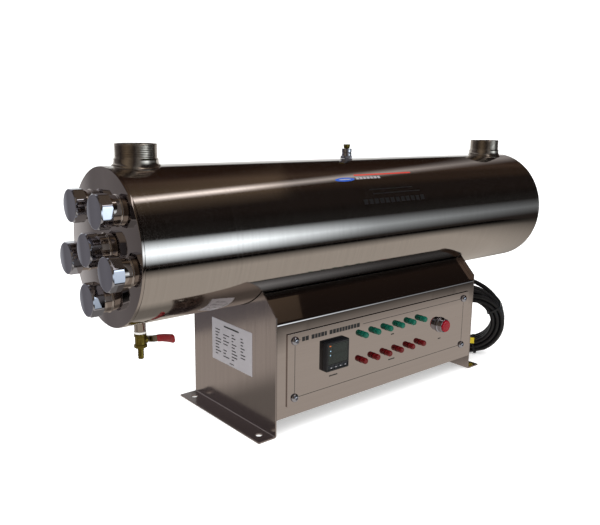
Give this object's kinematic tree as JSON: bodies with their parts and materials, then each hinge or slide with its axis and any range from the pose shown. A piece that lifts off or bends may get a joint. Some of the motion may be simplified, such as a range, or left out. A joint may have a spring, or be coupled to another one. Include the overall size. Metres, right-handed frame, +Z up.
{
  "type": "uv clarifier",
  "caption": "Horizontal polished steel ultraviolet water clarifier: a round lamp chamber with capped lamp ends and threaded top ports, standing on a sloped control box with a mains cord.",
  "frame": {"origin": "middle of the object's length and width, at floor level", "axes": "+X along the chamber from the inlet end to the outlet end, +Y away from the control panel, +Z up"},
  "size_m": [0.955, 0.2617, 0.4344],
  "materials": {
    "polished_steel": "mirror polished stainless steel",
    "brushed_steel": "satin stainless steel",
    "chrome_fittings": "bright plated",
    "brass": "machined brass",
    "quartz": "clear fused quartz",
    "lamp_glass": "clear germicidal lamp glass",
    "galvanised_steel": "galvanised sheet",
    "black_plastic": "moulded black plastic",
    "grey_keys": "silicone rubber",
    "green_lens": "translucent green",
    "red_lens": "translucent red",
    "red_button": "translucent red",
    "red_vinyl": "dipped vinyl",
    "black_cable": "black rubber sheath"
  },
  "bodies": {
    "unit": {"ballast_bank": "galvanised_steel", "bottom_tray": "galvanised_steel", "cable_gland": "black_plastic", "chamber_tube": "polished_steel", "control_panel": "polished_steel", "controller_case": "black_plastic", "drain_nipple": "brushed_steel", "drain_valve_body": "brass", "earth_stud": "brass", "front_cover": "brushed_steel", "front_end_plate": "polished_steel", "green_indicator_row": "green_lens", "inlet_nipple": "brushed_steel", "left_side_plate": "brushed_steel", "mains_coil": "black_cable", "mains_cord": "black_cable", "mains_cord_tail": "black_cable", "mains_plug": "black_cable", "outlet_nipple": "brushed_steel", "panel_screw_1": "chrome_fittings", "panel_screw_2": "chrome_fittings", "panel_screw_3": "chrome_fittings", "panel_screw_4": "chrome_fittings", "power_button_bezel": "chrome_fittings", "quartz_sleeve_1": "quartz", "quartz_sleeve_2": "quartz", "quartz_sleeve_3": "quartz", "quartz_sleeve_4": "quartz", "quartz_sleeve_5": "quartz", "quartz_sleeve_6": "quartz", "rear_cover": "brushed_steel", "rear_end_plate": "polished_steel", "red_indicator_row": "red_lens", "right_side_plate": "brushed_steel", "uv_lamp_1": "lamp_glass", "uv_lamp_2": "lamp_glass", "uv_lamp_3": "lamp_glass", "uv_lamp_4": "lamp_glass", "uv_lamp_5": "lamp_glass", "uv_lamp_6": "lamp_glass", "vent_body": "chrome_fittings"},
    "front_cap_body_1": {"front_cap_1": "chrome_fittings"},
    "front_cap_body_2": {"front_cap_2": "chrome_fittings"},
    "front_cap_body_3": {"front_cap_3": "chrome_fittings"},
    "front_cap_body_4": {"front_cap_4": "chrome_fittings"},
    "front_cap_body_5": {"front_cap_5": "chrome_fittings"},
    "front_cap_body_6": {"front_cap_6": "chrome_fittings"},
    "rear_cap_body_1": {"rear_cap_1": "chrome_fittings"},
    "rear_cap_body_2": {"rear_cap_2": "chrome_fittings"},
    "rear_cap_body_3": {"rear_cap_3": "chrome_fittings"},
    "rear_cap_body_4": {"rear_cap_4": "chrome_fittings"},
    "rear_cap_body_5": {"rear_cap_5": "chrome_fittings"},
    "rear_cap_body_6": {"rear_cap_6": "chrome_fittings"},
    "vent_screw_body": {"vent_screw": "brass"},
    "drain_handle": {"drain_lever": "brushed_steel", "lever_grip": "red_vinyl", "drain_ball": "chrome_fittings"},
    "power_button_body": {"power_button": "red_button"},
    "keypad_body": {"controller_keypad": "grey_keys"}
  },
  "joints": [
    {"name": "front_cap_pull_1", "type": "slide", "parent": "unit", "child": "front_cap_body_1", "axis": [-1, 0, 0], "range_m": [0, 0.04]},
    {"name": "front_cap_pull_2", "type": "slide", "parent": "unit", "child": "front_cap_body_2", "axis": [-1, 0, 0], "range_m": [0, 0.04]},
    {"name": "front_cap_pull_3", "type": "slide", "parent": "unit", "child": "front_cap_body_3", "axis": [-1, 0, 0], "range_m": [0, 0.04]},
    {"name": "front_cap_pull_4", "type": "slide", "parent": "unit", "child": "front_cap_body_4", "axis": [-1, 0, 0], "range_m": [0, 0.04]},
    {"name": "front_cap_pull_5", "type": "slide", "parent": "unit", "child": "front_cap_body_5", "axis": [-1, 0, 0], "range_m": [0, 0.04]},
    {"name": "front_cap_pull_6", "type": "slide", "parent": "unit", "child": "front_cap_body_6", "axis": [-1, 0, 0], "range_m": [0, 0.04]},
    {"name": "rear_cap_pull_1", "type": "slide", "parent": "unit", "child": "rear_cap_body_1", "axis": [1, 0, 0], "range_m": [0, 0.04]},
    {"name": "rear_cap_pull_2", "type": "slide", "parent": "unit", "child": "rear_cap_body_2", "axis": [1, 0, 0], "range_m": [0, 0.04]},
    {"name": "rear_cap_pull_3", "type": "slide", "parent": "unit", "child": "rear_cap_body_3", "axis": [1, 0, 0], "range_m": [0, 0.04]},
    {"name": "rear_cap_pull_4", "type": "slide", "parent": "unit", "child": "rear_cap_body_4", "axis": [1, 0, 0], "range_m": [0, 0.04]},
    {"name": "rear_cap_pull_5", "type": "slide", "parent": "unit", "child": "rear_cap_body_5", "axis": [1, 0, 0], "range_m": [0, 0.04]},
    {"name": "rear_cap_pull_6", "type": "slide", "parent": "unit", "child": "rear_cap_body_6", "axis": [1, 0, 0], "range_m": [0, 0.04]},
    {"name": "vent_screw_turn", "type": "hinge", "parent": "unit", "child": "vent_screw_body", "pos_m": [-0.0025, 0, 0.4256], "axis": [0, 0, 1], "range_deg": [0, 270]},
    {"name": "drain_handle_turn", "type": "hinge", "parent": "unit", "child": "drain_handle", "pos_m": [-0.401, 0, 0.1561], "axis": [1, 0, 0], "range_deg": [0, 90]},
    {"name": "power_button_press", "type": "slide", "parent": "unit", "child": "power_button_body", "axis": [0, 1, 0], "range_m": [0, 0.003], "stiffness_N_per_m": 600},
    {"name": "keypad_press", "type": "slide", "parent": "unit", "child": "keypad_body", "axis": [0, 1, 0], "range_m": [0, 0.0005], "stiffness_N_per_m": 1500}
  ]
}
